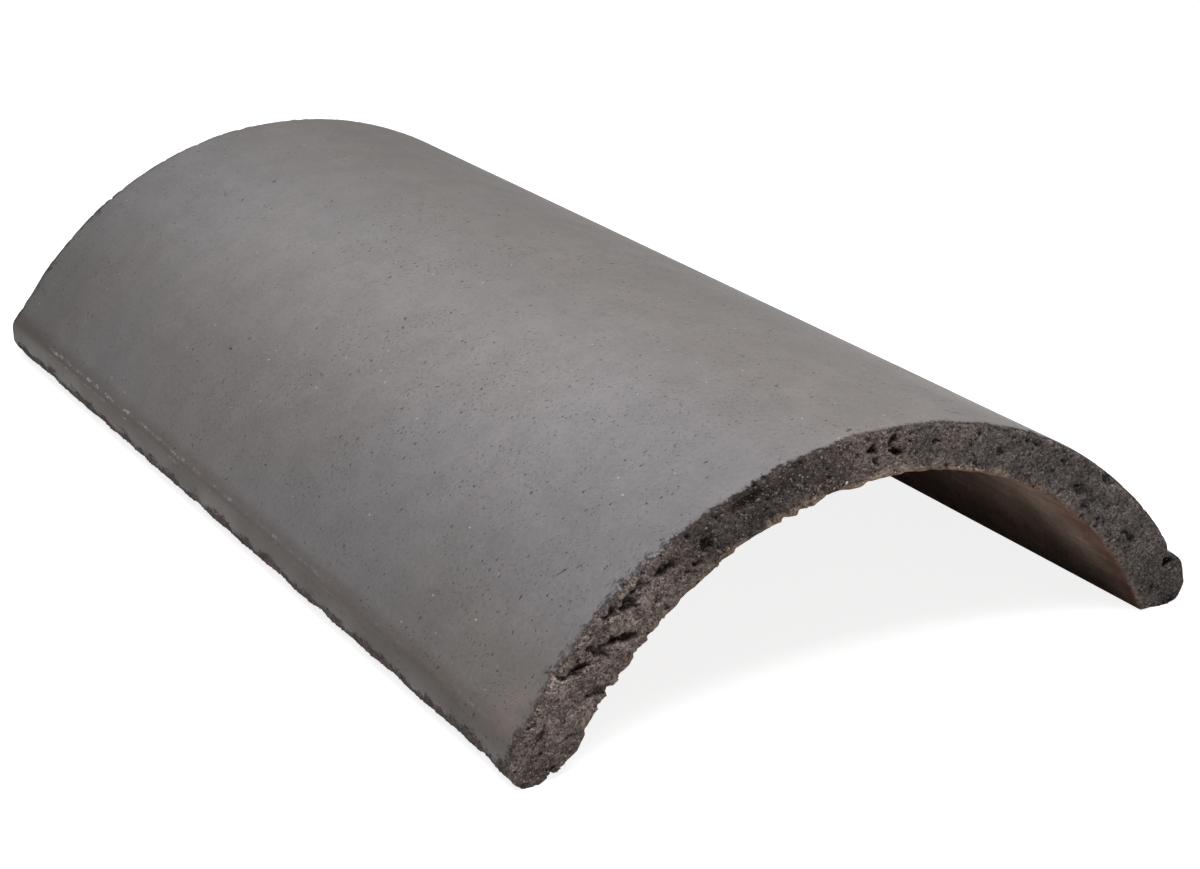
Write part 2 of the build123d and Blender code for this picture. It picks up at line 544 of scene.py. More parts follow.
def build_wear_tree():
    tree = bpy.data.node_groups.new("wear_of_cut_concrete", "GeometryNodeTree")
    inputs = {"Geometry": "NodeSocketGeometry", **WEAR, "Finish": "NodeSocketMaterial"}
    group_sockets(tree, inputs, {"Geometry": "NodeSocketGeometry"})
    w = Wiring(tree)
    given = w.node("NodeGroupInput").outputs
    place = w.node("GeometryNodeInputPosition").outputs[0]
    to_end = attribute_output(w, "to_end")
    to_skin = attribute_output(w, "to_skin_edge")
    to_mould = attribute_output(w, "to_mould_edge")
    round_arch = attribute_output(w, "round_arch")
    inward = attribute_output(w, "inward", "FLOAT_VECTOR")
    split = w.node("ShaderNodeSeparateXYZ", {"Vector": place}).outputs

    # Hollows along the tile, full on the cut face and gone 8 mm behind it
    at_end = w.rise(to_end, 8 * MM, 0.0)
    bend = w.vector("SUBTRACT", w.clouds(place, 3 * MM, 2, output="Color"), (0.5, 0.5, 0.5))
    bent = w.vector("ADD", place, w.scaled(bend, 2.2 * MM))
    swell = w.product(w.math("SUBTRACT", w.clouds(place, 26 * MM, 1, seed=1), 0.5), 2.0, given["End Swell"])
    grain = w.product(w.math("SUBTRACT", w.clouds(bent, 2.1 * MM, 2, 0.6, seed=2), 0.5), 2.0, given["Grain Relief"])
    zone = w.rise(w.clouds(place, 34 * MM, 1, seed=8), 0.42, 0.62, 0.05, 1.0)
    near_skin = w.rise(to_skin, -6 * MM, -1 * MM)
    zone = w.math("ADD", zone, w.product(near_skin, 0.35))
    torn = w.rise(w.clouds(bent, 6.5 * MM, 4, 0.62, seed=9), 0.58, 0.72)
    pits = w.product(torn, zone, given["Pit Depth"])
    near, chance = w.cells(bent, 3.4 * MM, seed=3)
    size = w.rise(w.node("ShaderNodeSeparateXYZ", {"Vector": chance}).outputs[0], 0.5, 1.0, 0.0, 0.36)
    pores = w.product(w.rise(w.math("DIVIDE", near, w.math("ADD", size, 0.001)), 1.0, 0.4), given["Pore Depth"])
    void = attribute_output(w, "void_depth")
    holes = w.math("MAXIMUM", w.math("MAXIMUM", pores, void), pits)
    depth = w.product(w.total(swell, grain, holes), at_end)
    towards_middle = w.math("MULTIPLY", w.math("SIGN", split[1]), -1.0)
    along = w.product(depth, towards_middle)

    # Hollows into the wall: everywhere a little, then chips, teeth and the ragged soles
    wave = w.product(w.clouds(place, 80 * MM, 2, seed=4), given["Wall Waviness"])
    coat = w.product(w.rise(to_skin, -1 * MM, 4 * MM), given["Coat Thickness"], -1.0)
    at_rim = w.rise(w.math("ABSOLUTE", to_end), 4.5 * MM, 0.3 * MM)
    outside = w.rise(w.math("SUBTRACT", to_skin, to_mould), -2 * MM, 2 * MM)
    chips = w.product(w.rise(w.clouds(bent, 4.5 * MM, 4, 0.6, seed=5), 0.5, 0.85), at_rim, outside,
                      given["Chip Depth"])
    out_of_step = w.product(w.math("SUBTRACT", w.clouds(place, 22 * MM, 2, seed=10), 0.5), 3.5)
    wider = w.product(w.math("MAXIMUM", w.math("ADD", round_arch, 72 * MM), 0.0), -0.35)
    evened = w.math("DIVIDE", w.math("ADD", round_arch, wider), given["Tooth Spacing"])
    step = w.math("FRACT", w.math("ADD", evened, out_of_step))
    tooth = w.product(w.rise(step, 1.0, 0.84), w.math("POWER", step, 1.2))
    size = w.rise(w.clouds(place, 13 * MM, 2, seed=6), 0.3, 0.7, 0.45, 1.3)
    near_end = w.rise(split[1], 0.0, -0.1, 0.35, 1.0)
    left_side = w.rise(round_arch, 20 * MM, -5 * MM, 0.3, 1.0)
    at_lip = w.rise(w.math("ABSOLUTE", to_end), 5.5 * MM, 0.5 * MM)
    under = w.math("SUBTRACT", 1.0, outside)
    tooth = w.math("ADD", w.product(tooth, size, given["Tooth Height"]), given["Lip Swell"])
    clear_of_floor = w.rise(split[2], 1.5 * MM, 6 * MM)
    teeth = w.product(tooth, near_end, left_side, at_lip, under, clear_of_floor, -1.0)
    low_down = w.rise(split[2], 8 * MM, 1.5 * MM)
    ragged = w.rise(w.clouds(bent, 15 * MM, 5, 0.62, seed=7), 0.35, 0.8)
    soles = w.product(ragged, low_down, outside, given["Sole Roughness"])
    knocks = attribute_output(w, "knock_depth")
    into = w.total(wave, coat, chips, teeth, soles, knocks)

    shift = w.vector("ADD", w.scaled(inward, into), w.node("ShaderNodeCombineXYZ", {"Y": along}).outputs[0])
    target = w.vector("ADD", place, shift)
    target = w.vector("MAXIMUM", target, (-1.0, -1.0, 0.0))
    moved = w.node("GeometryNodeSetPosition", {"Geometry": given["Geometry"], "Position": target}).outputs[0]
    stored = w.node("GeometryNodeStoreNamedAttribute", {"Geometry": moved, "Name": "hollow"}, data_type="FLOAT")
    value_socket = next(socket for socket in stored.inputs if socket.enabled and socket.name == "Value")
    w.feed(value_socket, w.total(w.product(holes, at_end), chips, soles))
    smooth = w.node("GeometryNodeSetShadeSmooth", {"Geometry": stored.outputs[0]}).outputs[0]
    real = w.node("GeometryNodeRealizeInstances", {"Geometry": smooth}).outputs[0]
    finished = w.node("GeometryNodeSetMaterial", {"Geometry": real, "Material": given["Finish"]}).outputs[0]
    w.node("NodeGroupOutput", {"Geometry": finished})
    return tree


wear_tree = build_wear_tree()
print("Wear tree:", len(wear_tree.nodes), "nodes, inputs", list(WEAR))

# %% [markdown]
# ## Wear applied
# A modifier shows the worn shape, but the finished piece has to be a plain mesh. So the evaluated object is turned
# into a new mesh, and the modifier goes away with the base object.

# %% Turn the worn tile into a plain mesh
def bake_nodes(source, tree, values, name):
    """Runs a geometry tree on an object and returns its result as a plain mesh object."""
    modifier = source.modifiers.new(tree.name, "NODES")
    modifier.node_group = tree
    for item in tree.interface.items_tree:
        if item.in_out == "INPUT" and item.name in values:
            modifier[item.identifier] = values[item.name]
    evaluated = source.evaluated_get(bpy.context.evaluated_depsgraph_get())
    mesh = bpy.data.meshes.new_from_object(evaluated)
    result = bpy.data.objects.new(name, mesh)
    mesh.name = name
    bpy.context.scene.collection.objects.link(result)
    bpy.data.objects.remove(source)
    return result


concrete = bpy.data.materials.new("weathered_concrete")
worn = bake_nodes(tile, wear_tree, {**WEAR, "Finish": concrete}, "worn_tile")
worn.data.calc_loop_triangles()
print("Worn body:", len(worn.data.vertices), "points,", len(worn.data.loop_triangles), "triangles")

# %% [markdown]
# ## Weather and painted light by Geometry Nodes
# Weather works in broad clouds, a hand's breadth across, so a few numbers per point are enough to carry it: how
# warm the grey is, how bright it is, how many pinholes there are, and how dull the sheen is. The far end is darker,
# more so on the left flank than on the crown. The brightness also carries painted light: a painted sheen on a band
# of the left flank, and painted shade low on the left flank and on the slope below the crease.

# %% Store the weather and painted light on the points
WEATHER = {"Cloud Size": 100 * MM, "Wet Darkening": 0.13, "Cloud Contrast": 0.05}


def store_value(wiring, geometry, name, value):
    node = wiring.node("GeometryNodeStoreNamedAttribute", {"Geometry": geometry, "Name": name}, data_type="FLOAT")
    wiring.feed(next(socket for socket in node.inputs if socket.enabled and socket.name == "Value"), value)
    return node.outputs[0]


def build_weather_and_painted_light_tree():
    tree = bpy.data.node_groups.new("weather_on_concrete", "GeometryNodeTree")
    inputs = {"Geometry": "NodeSocketGeometry", **WEATHER, "Finish": "NodeSocketMaterial"}
    group_sockets(tree, inputs, {"Geometry": "NodeSocketGeometry"})
    w = Wiring(tree)
    given = w.node("NodeGroupInput").outputs
    place = w.node("GeometryNodeInputPosition").outputs[0]
    arch = attribute_output(w, "round_arch")
    along = w.node("ShaderNodeSeparateXYZ", {"Vector": place}).outputs[1]

    def cloud(share_of_size, seed):
        """Broad noise, and its size as a share of the given one."""
        size = w.math("MULTIPLY", given["Cloud Size"], share_of_size)
        inputs = {"Vector": w.shifted(place, seed), "Scale": w.math("DIVIDE", 1.0, size), "Detail": 2.0}
        return w.node("ShaderNodeTexNoise", inputs).outputs["Fac"]

    patches = w.product(w.rise(cloud(1.1, 11), 0.36, 0.68), 0.7)
    at_foot = w.product(w.rise(arch, -112 * MM, -135 * MM), w.rise(along, -0.1, -0.19))
    by_crown = w.rise(arch, -50 * MM, -5 * MM, 0.0, 0.85)
    warmth = w.math("MAXIMUM", patches, w.math("MAXIMUM", by_crown, at_foot))
    contrast = w.product(w.math("SUBTRACT", cloud(0.9, 12), 0.5), 2.6, given["Cloud Contrast"])
    # Darker towards the far end, more on the left flank than on the crown.
    far_end_darkening = w.rise(w.math("ADD", along, w.product(cloud(0.7, 16), 60 * MM)), 0.125, 0.262)
    far_end_darkening = w.product(far_end_darkening, w.rise(arch, 30 * MM, -35 * MM, 0.45, 1.0), given["Wet Darkening"])
    # Painted sheen: a band of the left flank, about 50 to 80 mm left of the crown, is up to a tenth brighter, and a
    # little darker by the near end.
    painted_sheen_band = w.product(w.rise(arch, -118 * MM, -78 * MM), w.rise(arch, -20 * MM, -50 * MM),
                       w.rise(along, -0.2, -0.12, -0.03, 0.1))
    # Painted shade: below about 112 mm left of the crown the flank is up to 12 % darker, most by the near end.
    low_left_painted_shade = w.product(w.rise(arch, -112 * MM, -150 * MM), w.rise(along, 0.0, -0.2, 0.4, 1.0), 0.12)
    # Painted shade: the slope between the crease and the shoulder on the left is 13 % darker.
    shoulder = w.product(w.rise(arch, -148.5 * MM, -150 * MM), w.rise(arch, -155.5 * MM, -152.5 * MM), 0.13)
    tone = w.math("SUBTRACT", w.total(0.97, contrast, painted_sheen_band), w.total(far_end_darkening, low_left_painted_shade, shoulder))
    cluster = w.product(w.rise(cloud(0.45, 18), 0.4, 0.62, 0.3, 1.0), w.rise(along, 0.14, 0.0, 0.35, 1.0))
    by_left_foot = w.product(w.rise(arch, -45 * MM, -80 * MM), w.rise(along, 0.03, -0.1), 0.75)
    cluster = w.math("MAXIMUM", cluster, by_left_foot)
    dullness = w.rise(cloud(0.4, 28), 0.3, 0.7, 0.46, 0.56)

    geometry = given["Geometry"]
    for name, value in (("warmth", warmth), ("tone", tone), ("cluster", cluster), ("dullness", dullness)):
        geometry = store_value(w, geometry, name, value)
    real = w.node("GeometryNodeRealizeInstances", {"Geometry": geometry}).outputs[0]
    finished = w.node("GeometryNodeSetMaterial", {"Geometry": real, "Material": given["Finish"]}).outputs[0]
    w.node("NodeGroupOutput", {"Geometry": finished})
    return tree


body = bake_nodes(worn, build_weather_and_painted_light_tree(), {**WEATHER, "Finish": concrete}, "tile_body")
print("Weathered body:", sorted(attribute.name for attribute in body.data.attributes if attribute.name.islower()))

# %% [markdown]
# ## Colours shared by the three finishes
# Each finish is a shader group that gives a colour, a roughness and a height. One material lays them over each other
# by ragged masks, because on the real tile it is one concrete all through: the slurry coat ends where it tore, and
# the brown face ends where the knife passed. Small marks such as pinholes come from random cells, of which only a
# share is used.

# %% Helpers for shader groups
def colour_mix(wiring, fac, first, second):
    """First where the factor is 0, second where it is 1."""
    node = wiring.node("ShaderNodeMix", data_type="RGBA")
    sockets = [socket for socket in node.inputs if socket.enabled]
    for socket, value in zip(sockets, (fac, first, second)):
        wiring.feed(socket, value)
    return next(socket for socket in node.outputs if socket.enabled)


def channels(wiring, colour):
    return wiring.node("ShaderNodeSeparateColor", {"Color": colour}).outputs


def spots(wiring, place, size, share, radius, seed=0, flat=True):
    """Round marks in a share of random cells: a mask that is 1 inside a mark, and a random number per mark."""
    distance, chance = wiring.cells(place, size, seed, flat)
    red, green, blue = channels(wiring, chance)
    reach = wiring.rise(blue, 0.0, 1.0, 0.5 * radius / size, 1.3 * radius / size)
    mask = wiring.rise(wiring.math("DIVIDE", distance, reach), 1.0, 0.6)
    return wiring.math("MULTIPLY", mask, wiring.math("LESS_THAN", green, share)), red


def new_group(name, inputs, outputs):
    tree = bpy.data.node_groups.new(name, "ShaderNodeTree")
    group_sockets(tree, inputs, outputs)
    wiring = Wiring(tree)
    return tree, wiring, wiring.node("NodeGroupInput").outputs


FINISH_OUTPUTS = {"Color": (0.5, 0.5, 0.5, 1.0), "Roughness": 0.5, "Height": 0.0}
VECTOR = "NodeSocketVector"

# %% [markdown]
# ### Slurry skin
# The coat is a mid grey with a satin sheen. It has marks that follow its making: pinholes from air, short drags
# round the arch from the spreading, a few light and rusty grains. Its coordinates are the way round the arch and
# the way along the tile, so that drags can be long in the first and short in the second. Where the tile leant on
# its left shoulder, the edge is scuffed white, and by the near foot there is a blush of brick dust.

# %% The slurry skin
SHOULDER_AT = sum(length for length, turn in outside_steps[:3]) + SHOULDER_RADIUS * shoulder_turn / 2
SCUFF_RISE = 2.4 * MM
BLUSH_AT = Vector((-122.6, -219.5, 21.5)) * MM
DRAGS_MM = [
    (-105.2, -200, 3.6, 0.42, -37), (-100.5, -204.5, 1.6, 0.5, -35), (-37, 148.3, 1.7, 1.3, 20), (37, -219, 4.0, 0.5, 0),
    (-8.6, -222.5, 1.6, 0.6, 0), (19.7, -34.4, 2.4, 0.5, 0), (34.5, -216, 2.2, 0.45, -8),
]


def build_slurry_skin():
    inputs = {"Place": VECTOR, "Round Arch": 0.0, "To Edge": 0.0, "Warmth": 0.5, "Tone": 1.0, "Cluster": 0.5,
              "Dullness": 0.5}
    tree, w, given = new_group("slurry_skin", inputs, FINISH_OUTPUTS)
    place, arch = given["Place"], given["Round Arch"]
    along = w.node("ShaderNodeSeparateXYZ", {"Vector": place}).outputs[1]
    flat = w.node("ShaderNodeCombineXYZ", {"X": arch, "Y": along}).outputs[0]

    # Grey, with two sizes of mottling and faint streaks along the tile
    colour = colour_mix(w, given["Warmth"], (0.197, 0.1855, 0.190, 1), (0.200, 0.183, 0.175, 1))
    mottle = w.clouds(place, 13 * MM, 3, 0.6, seed=13)
    fine = w.clouds(place, 1.7 * MM, 3, 0.7, seed=14)
    streak = w.clouds(w.vector("MULTIPLY", flat, (1.0, 0.02, 1.0)), 2.5 * MM, 1, seed=15)
    tone = w.product(w.rise(mottle, 0.3, 0.7, 0.945, 1.055), w.rise(fine, 0.3, 0.7, 0.92, 1.08),
                     w.rise(streak, 0.3, 0.7, 0.985, 1.015), given["Tone"])
    colour = w.scaled(colour, tone)
    blush = w.rise(w.vector("DISTANCE", place, tuple(BLUSH_AT)), 13 * MM, 2 * MM)
    colour = colour_mix(w, w.product(blush, w.rise(mottle, 0.4, 0.6), 0.4), colour, (0.27, 0.185, 0.17, 1))
    # The toe's side band below the crease is painted dark brown, going to near black towards the floor and raggedly at
    # the bottom, a little weaker by the near end: brown soil, and painted shade on faces that turn away from the light.
    above = w.node("ShaderNodeSeparateXYZ", {"Vector": place}).outputs[2]
    by_foot = w.rise(along, -0.225, -0.17, 0.65, 1.0)
    colour = colour_mix(w, w.product(w.rise(above, 22 * MM, 12 * MM), by_foot, 0.76), colour, (0.085, 0.062, 0.048, 1))
    colour = colour_mix(w, w.product(w.rise(above, 15 * MM, 11 * MM), by_foot, 0.84), colour, (0.036, 0.022, 0.012, 1))
    ragged = w.clouds(place, 11 * MM, 4, 0.65, seed=53)
    soil_and_painted_shade = w.rise(w.math("ADD", above, w.product(ragged, 26 * MM)), 21 * MM, 12 * MM, 0.0, 0.6)
    colour = colour_mix(w, soil_and_painted_shade, colour, (0.035, 0.029, 0.025, 1))

    # Pinholes in clusters, then drags round the arch
    uneven = w.vector("ADD", flat, w.scaled(w.clouds(place, 6 * MM, 1, output="Color", seed=17), 5 * MM))
    share = w.product(given["Cluster"], w.rise(w.clouds(flat, 11 * MM, 1, seed=24), 0.4, 0.6, 0.2, 1.0), 0.9)
    pin, chance = spots(w, w.vector("MULTIPLY", uneven, (0.75, 1.0, 1.0)), 2.8 * MM, share, 0.36 * MM, seed=19)
    pin = w.math("MULTIPLY", pin, w.rise(chance, 0.0, 1.0, 0.3, 0.95))
    bowed = w.vector("ADD", w.vector("MULTIPLY", flat, (0.4, 1.0, 1.0)),
                     w.scaled(w.clouds(place, 9 * MM, 1, output="Color"), 3.0 * MM))
    dash, chance = spots(w, bowed, 4.5 * MM, w.product(given["Cluster"], 0.13), 0.34 * MM, seed=21)
    dash = w.product(dash, w.rise(fine, 0.4, 0.56, 0.15, 1.0))
    faint, chance = spots(w, uneven, 1.7 * MM, w.product(share, 1.2), 0.28 * MM, seed=20)
    dark = w.math("MAXIMUM", w.math("MAXIMUM", w.product(pin, 0.85), dash), w.product(faint, 0.45))
    torn_line = w.rise(fine, 0.35, 0.55, 0.2, 1.0)
    fray = w.vector("SUBTRACT", w.clouds(place, 3 * MM, 3, output="Color"), (0.5, 0.5, 0.5))
    frayed = w.vector("ADD", flat, w.scaled(fray, 2.8 * MM))
    for drag_arch, drag_along, half_length, half_width, tilt in DRAGS_MM:
        off = w.vector("SUBTRACT", frayed, (drag_arch * MM, drag_along * MM, 0.0))
        lengthwise = Vector((cos(radians(tilt)), sin(radians(tilt)), 0)) / (half_length * MM)
        crosswise = Vector((-sin(radians(tilt)), cos(radians(tilt)), 0)) / (half_width * MM)
        reach = w.node("ShaderNodeCombineXYZ", {"X": w.vector("DOT_PRODUCT", off, tuple(lengthwise)),
                       "Y": w.vector("DOT_PRODUCT", off, tuple(crosswise))}).outputs[0]
        dark = w.math("MAXIMUM", dark, w.product(w.rise(w.vector("LENGTH", reach), 1.0, 0.45), torn_line, 0.9))
    colour = colour_mix(w, dark, colour, (0.035, 0.026, 0.022, 1))

    # Light and rusty grains
    speck, chance = spots(w, flat, 8 * MM, 0.11, 0.36 * MM, seed=23)
    kind = w.math("LESS_THAN", chance, 0.3)
    colour = colour_mix(w, w.product(speck, 0.75), colour, colour_mix(w, kind, (0.55, 0.5, 0.46, 1), (0.36, 0.13, 0.065, 1)))

    # White scuffs on the left shoulder, broken along the tile
    wander = w.product(w.math("SUBTRACT", mottle, 0.5), 2.2 * MM)
    upper = w.math("ABSOLUTE", w.total(arch, SHOULDER_AT - SCUFF_RISE, wander))
    lower = w.math("ABSOLUTE", w.total(arch, SHOULDER_AT, w.product(wander, 0.5)))
    scuffed = w.math("MAXIMUM", w.rise(upper, 0.9 * MM, 0.1 * MM), w.rise(lower, 0.6 * MM, 0.1 * MM, 0.0, 0.4))
    dotted = w.rise(w.clouds(w.vector("MULTIPLY", flat, (1.0, 0.5, 1.0)), 1.1 * MM, 3, 0.75, seed=26), 0.47, 0.62)
    runs = w.rise(w.clouds(flat, 16 * MM, 2, seed=27), 0.4, 0.6, 0.12, 1.0)
    reach = w.product(w.rise(along, -0.15, 0.06, 0.12, 1.0), w.rise(along, 0.2, 0.17))
    colour = colour_mix(w, w.product(scuffed, dotted, runs, reach, 0.85), colour, (0.55, 0.53, 0.5, 1))

    # Darker in the band beside the torn edge
    from_edge = w.math("ADD", given["To Edge"], w.product(mottle, 3 * MM))
    colour = w.scaled(colour, w.rise(from_edge, 1.2 * MM, 4.2 * MM, 0.62, 1.0))

    roughness = w.math("ADD", given["Dullness"], w.product(dark, 0.3), clamp=True)
    ripple = w.product(w.clouds(place, 9 * MM, 1, seed=29), 0.10 * MM)
    height = w.total(ripple, w.product(fine, 0.045 * MM), w.product(pin, -0.25 * MM))
    w.node("NodeGroupOutput", {"Color": colour, "Roughness": roughness, "Height": height})
    return tree


slurry_skin = build_slurry_skin()
print("Slurry skin:", len(slurry_skin.nodes), "nodes; shoulder at", round(SHOULDER_AT / MM, 1), "mm round the arch")

# %% [markdown]
# ### Open concrete
# Torn concrete shows its sand: grains of a millimetre in many browns and greys, dark gaps between them, and fine
# pores. The left haunch is browner and the right one colder. The face is darker towards the floor and lighter at the
# left foot, the stretch from the left haunch to the crown is painted shade, the crown is a little paler, and the
# hollows are darker for dust and for painted shade.

# %% The open concrete
def build_open_concrete():
    inputs = {"Place": VECTOR, "Round Arch": 0.0, "Hollow": 0.0}
    tree, w, given = new_group("open_concrete", inputs, FINISH_OUTPUTS)
    arch = given["Round Arch"]
    place = given["Place"]
    split = w.node("ShaderNodeSeparateXYZ", {"Vector": place}).outputs
    blotch = w.clouds(place, 10 * MM, 4, 0.6, seed=34)
    coldness = w.rise(w.math("ADD", split[0], w.product(blotch, 50 * MM)), -0.02, 0.09)
    colour = colour_mix(w, coldness, (0.205, 0.162, 0.146, 1), (0.145, 0.122, 0.112, 1))

    # Sand grains of two sizes, with gaps between
    bent = w.vector("ADD", place, w.scaled(w.clouds(place, 1.2 * MM, 1, output="Color"), 0.7 * MM))
    coarse, coarse_chance = w.cells(bent, 0.95 * MM, seed=32)
    small, small_chance = w.cells(bent, 0.48 * MM, seed=33)
    coarse_red, coarse_green, coarse_blue = channels(w, coarse_chance)
    gaps = w.clouds(bent, 1.9 * MM, 4, 0.72, seed=35)
    tone = w.product(w.rise(coarse_red, 0.0, 1.0, 0.66, 1.34), w.rise(channels(w, small_chance)[0], 0.0, 1.0, 0.7, 1.3),
                     w.rise(blotch, 0.3, 0.7, 0.6, 1.3), w.rise(gaps, 0.5, 0.64, 1.0, 0.4))
    colour = w.scaled(colour, tone)
    tan = w.product(w.math("LESS_THAN", coarse_green, 0.07), w.rise(coarse, 0.55, 0.4), 0.6)
    colour = colour_mix(w, tan, colour, (0.27, 0.215, 0.175, 1))
    rusty = w.product(w.math("LESS_THAN", coarse_blue, 0.025), w.rise(coarse, 0.5, 0.35), 0.55)
    colour = colour_mix(w, rusty, colour, (0.27, 0.12, 0.05, 1))

    pore, chance = spots(w, bent, 1.8 * MM, 0.7, 0.36 * MM, seed=36, flat=False)
    # Painted shade on the stretch from the left haunch to the crown; the face is also darker towards the floor, lighter
    # at the left foot and a little paler by the crown.
    feet = w.product(w.rise(split[2], 4 * MM, 30 * MM, 0.6, 1.0), w.rise(arch, -66 * MM, -112 * MM, 1.0, 1.36),
                     w.math("SUBTRACT", 1.0, w.product(w.rise(arch, -98 * MM, -70 * MM), w.rise(arch, -5 * MM, -30 * MM), 0.54)))
    crown = w.math("ADD", 1.0, w.product(w.rise(arch, -30 * MM, 0.0), w.rise(arch, 50 * MM, 25 * MM), 0.08))
    # The hollows are painted darker, for dust and for painted shade.
    dust_and_painted_shade = w.rise(given["Hollow"], 0.35 * MM, 2.1 * MM, 1.0, 0.3)
    colour = w.scaled(colour, w.product(feet, crown, dust_and_painted_shade, w.rise(pore, 0.0, 1.0, 1.0, 0.2)))

    domes = w.total(w.rise(coarse, 0.65, 0.0, 0.0, 0.32 * MM), w.rise(small, 0.65, 0.0, 0.0, 0.13 * MM))
    height = w.total(domes, w.product(gaps, -0.7 * MM), w.product(pore, -0.5 * MM))
    w.node("NodeGroupOutput", {"Color": colour, "Roughness": 0.88, "Height": height})
    return tree


open_concrete = build_open_concrete()
print("Open concrete:", len(open_concrete.nodes), "nodes")

# %% [markdown]
# ### Mould face
# Under the arch the face is smooth and brown, with faint marks along the tile from the mould it slid over. Within a
# few centimetres of the ends it is a darker brown, and deeper under the arch it is painted lighter, as painted fill
# light.

# %% The mould face
def build_mould_face():
    inputs = {"Place": VECTOR, "Round Arch": 0.0, "To End": 0.0}
    tree, w, given = new_group("mould_face", inputs, FINISH_OUTPUTS)
    place = given["Place"]
    split = w.node("ShaderNodeSeparateXYZ", {"Vector": place}).outputs
    flat = w.node("ShaderNodeCombineXYZ", {"X": given["Round Arch"], "Y": split[1]}).outputs[0]
    stain = w.clouds(place, 24 * MM, 3, 0.6, seed=42)
    fine = w.clouds(place, 1.5 * MM, 3, 0.6, seed=44)
    # Painted fill light: deep under the arch the brown is painted lighter, and within a few centimetres of the ends it
    # is darker.
    painted_fill_fade = w.rise(w.math("ADD", given["To End"], w.product(stain, 22 * MM)), 34 * MM, 8 * MM)
    colour = colour_mix(w, painted_fill_fade, (0.45, 0.33, 0.27, 1), (0.225, 0.12, 0.082, 1))
    drag = w.clouds(w.vector("MULTIPLY", flat, (1.0, 0.04, 1.0)), 3 * MM, 2, 0.6, seed=43)
    pore, chance = spots(w, flat, 5 * MM, 0.35, 0.4 * MM, seed=45)
    low_down = w.rise(split[2], 3 * MM, 34 * MM, 0.42, 1.0)
    tone = w.product(w.rise(stain, 0.3, 0.7, 0.75, 1.2), w.rise(drag, 0.3, 0.7, 0.88, 1.12), low_down,
                     w.rise(fine, 0.3, 0.7, 0.86, 1.14), w.rise(pore, 0.0, 1.0, 1.0, 0.4))
    height = w.total(w.product(fine, 0.12 * MM), w.product(pore, -0.2 * MM))
    w.node("NodeGroupOutput", {"Color": w.scaled(colour, tone), "Roughness": 0.95, "Height": height})
    return tree


mould_face = build_mould_face()
print("Mould face:", len(mould_face.nodes), "nodes")

# %% [markdown]
# ### The whole finish
# The masks come from the distances that the points carry. Noise of two sizes makes both edges ragged. A thin tan
# lip of cement paste follows the edge under the arch, and a dark line follows the torn edge of the skin. Each
# finish has its own surface shader, and the masks choose between them.

# %% Lay the finishes over each other
def shader_attribute(wiring, name):
    return wiring.node("ShaderNodeAttribute", attribute_name=name).outputs["Fac"]


